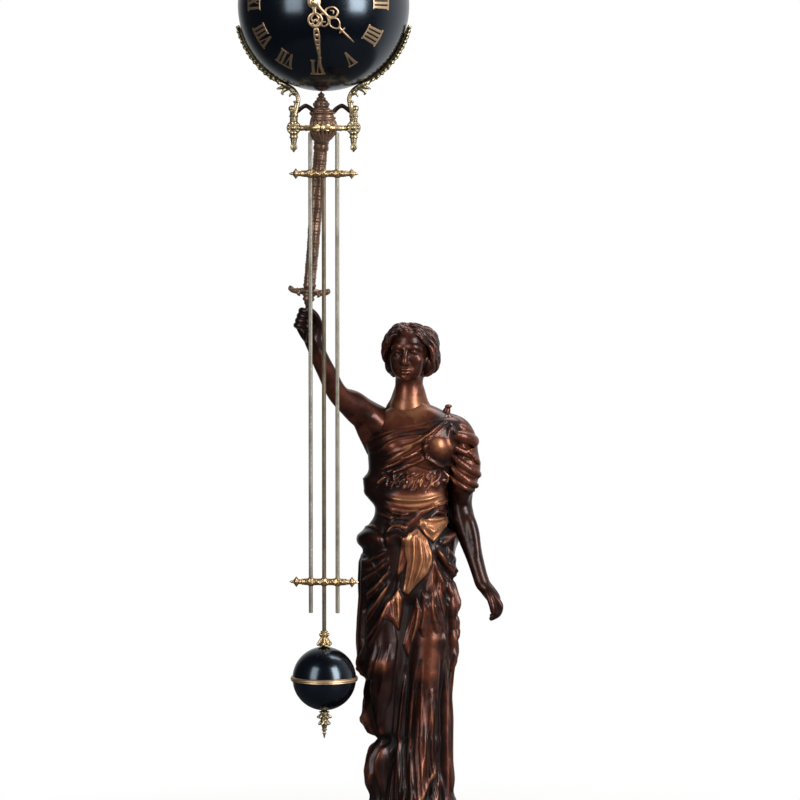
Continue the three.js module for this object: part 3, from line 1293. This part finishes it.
// Pierced hand: a tapered blade with round loops along it, cut up so that it can bend
function handBlank(length, loops, hub) {
  const blades = [];
  const steps = 5;
  for (let step = 0; step < steps; step += 1) {
    const low = hub + ((length - hub) * step) / steps - 0.2;
    const high = hub + ((length - hub) * (step + 1)) / steps;
    const width = 1.7 - 1.1 * (step / steps);
    const next = 1.7 - 1.1 * ((step + 1) / steps);
    blades.push(plate(outline([[-width, low], [width, low], [next, high], [-next, high]]), 0, HAND_THICKNESS));
  }
  const rings = loops.map(([height, radius]) => {
    return moved(tube(radius - 1.2, radius, 0, HAND_THICKNESS, 10), 0, height, 0);
  });
  return [blades, rings];
}

function hand(length, loops, hub, bore, lift, turn) {
  const [blades, rings] = handBlank(length, loops, hub);
  const centre = tube(bore, hub + 0.6, 0, HAND_THICKNESS, 18);
  return bentHand(join(centre, ...blades, ...rings), lift, turn);
}

function hourHand() {
  const loops = [[HOUR_HAND_LENGTH * 0.3, 4], [HOUR_HAND_LENGTH * 0.58, 3.4]];
  return hand(HOUR_HAND_LENGTH, loops, 5.2, HOUR_PIPE_RADIUS - 0.5, HOUR_HAND_LIFT, HOUR_HAND_TURN);
}

function minuteHand() {
  const shares = [[0.24, 2.6], [0.46, 2.4], [0.66, 2.2]];
  const loops = shares.map(([share, radius]) => [MINUTE_HAND_LENGTH * share, radius]);
  return hand(MINUTE_HAND_LENGTH, loops, 4, 1.2 + GAP, MINUTE_HAND_LIFT, MINUTE_HAND_TURN);
}

function handNut() {
  const low = MINUTE_HAND_Z + HAND_THICKNESS + GAP;
  const bore = 1.2 + GAP;
  return turnedToFront([
    [bore, low], [3.8, low], [3.8, low + 1], [2.8, low + 2.4],
    [bore + 0.3, low + 3.4], [bore, low + 3.4], [bore, low],
  ], 16);
}

const clock = new THREE.Group();
clock.name = "figure_swing_clock";
clock.rotation.x = Math.PI / 2;

const swing = new THREE.Group();
swing.name = "swinging_arm";
swing.position.copy(PIVOT);
clock.add(swing);

const ballClock = new THREE.Group();
ballClock.name = "ball_clock";
ballClock.position.set(0, BALL_RISE, 0);
swing.add(ballClock);

const bob = new THREE.Group();
bob.name = "bob";
bob.position.set(0, -BOB_DROP, 0);
swing.add(bob);

function piece(parent, name, look, geometry) {
  const shape = closed(geometry);
  shape.computeVertexNormals();
  const mesh = new THREE.Mesh(shape, look);
  mesh.name = name;
  parent.add(mesh);
}

piece(clock, "felt_pad", felt, feltPad());
piece(clock, "plinth", bronze, plinth());
piece(clock, "figure_ground", bronze, figureGround());
piece(clock, "tie_rod", steel, upright(TIE_RADIUS, TIE_BOTTOM, FOOT_Y + CAVITY_HEIGHT + TIE_THREAD, 12));
piece(clock, "tie_nut", steel, tieNut());
piece(clock, "tie_washer", steel, tieWasher());
piece(clock, "skirt_casting", bronze, skirtCasting());
piece(clock, "torso_casting", bronze, torsoCasting());
piece(clock, "head_casting", bronze, headCasting());
piece(clock, "raised_arm_casting", bronze, raisedArm());
piece(clock, "lowered_arm_casting", bronze, loweredArm());
piece(clock, "support_staff", bronze, supportStaff());
piece(clock, "staff_guard", bronze, staffGuard());
piece(clock, "pivot_head", bronze, pivotHead());
piece(clock, "staff_finial", bronze, staffFinial());
piece(clock, "pivot_arm", bronze, pivotArm());

piece(swing, "pivot_yoke", gilt, pivotYoke());
piece(swing, "knife_edge", steel, knifeEdge());
piece(swing, "left_bracket", gilt, bracket(-1));
piece(swing, "right_bracket", gilt, bracket(1));
piece(swing, "left_cradle_arm", gilt, cradleArm(-1));
piece(swing, "right_cradle_arm", gilt, cradleArm(1));
piece(swing, "left_rod", steel, rodBar(-ROD_SPACING, OUTER_ROD_BOTTOM, OUTER_ROD_TOP));
piece(swing, "right_rod", steel, rodBar(ROD_SPACING, OUTER_ROD_BOTTOM, OUTER_ROD_TOP));
piece(swing, "middle_rod", gilt, rodBar(0, -BOB_DROP - BOB_RADIUS - GAP - ROD_IN_NUT, MIDDLE_ROD_TOP));
piece(swing, "upper_clamp", gilt, clamp(UPPER_CLAMP_DROP, [-ROD_SPACING, 0, ROD_SPACING]));
piece(swing, "lower_clamp", gilt, clamp(LOWER_CLAMP_DROP, [-ROD_SPACING, 0, ROD_SPACING]));

piece(bob, "bob_upper_half", enamel, bobHalf(1));
piece(bob, "bob_lower_half", enamel, bobHalf(-1));
piece(bob, "bob_band", gilt, bobBand());
piece(bob, "bob_cup", gilt, bobCup());
piece(bob, "rating_nut", gilt, ratingNut());

piece(ballClock, "front_shell", enamel, shell(1));
piece(ballClock, "rear_shell", enamel, shell(-1));
piece(ballClock, "movement_ring", steel, movementRing());
piece(ballClock, "front_plate", gilt, frontPlate());
piece(ballClock, "back_plate", gilt, backPlate());
pillarSpots().forEach((spot, index) => piece(ballClock, `pillar_${index + 1}`, steel, pillar(spot)));
piece(ballClock, "centre_arbor", steel, centreArbor());
piece(ballClock, "centre_wheel", gilt, centreWheel());
piece(ballClock, "cannon_pinion", steel, cannonPinion());
piece(ballClock, "minute_wheel", gilt, minuteWheel());
piece(ballClock, "hour_wheel", gilt, hourWheel());
piece(ballClock, "barrel", gilt, barrel());
piece(ballClock, "mainspring", steel, mainspring());
piece(ballClock, "winding_arbor", steel, windingArbor());
piece(ballClock, "ratchet_wheel", steel, ratchetWheel());
piece(ballClock, "click", steel, click());
piece(ballClock, "winding_key", gilt, windingKey());
piece(ballClock, "third_wheel", gilt, thirdWheel());
piece(ballClock, "escape_wheel", gilt, escapeWheel());
piece(ballClock, "anchor", steel, anchor());
piece(ballClock, "inner_pendulum", gilt, innerPendulum());
piece(ballClock, "hour_hand", gilt, hourHand());
piece(ballClock, "minute_hand", gilt, minuteHand());
piece(ballClock, "hand_nut", gilt, handNut());

export default clock;
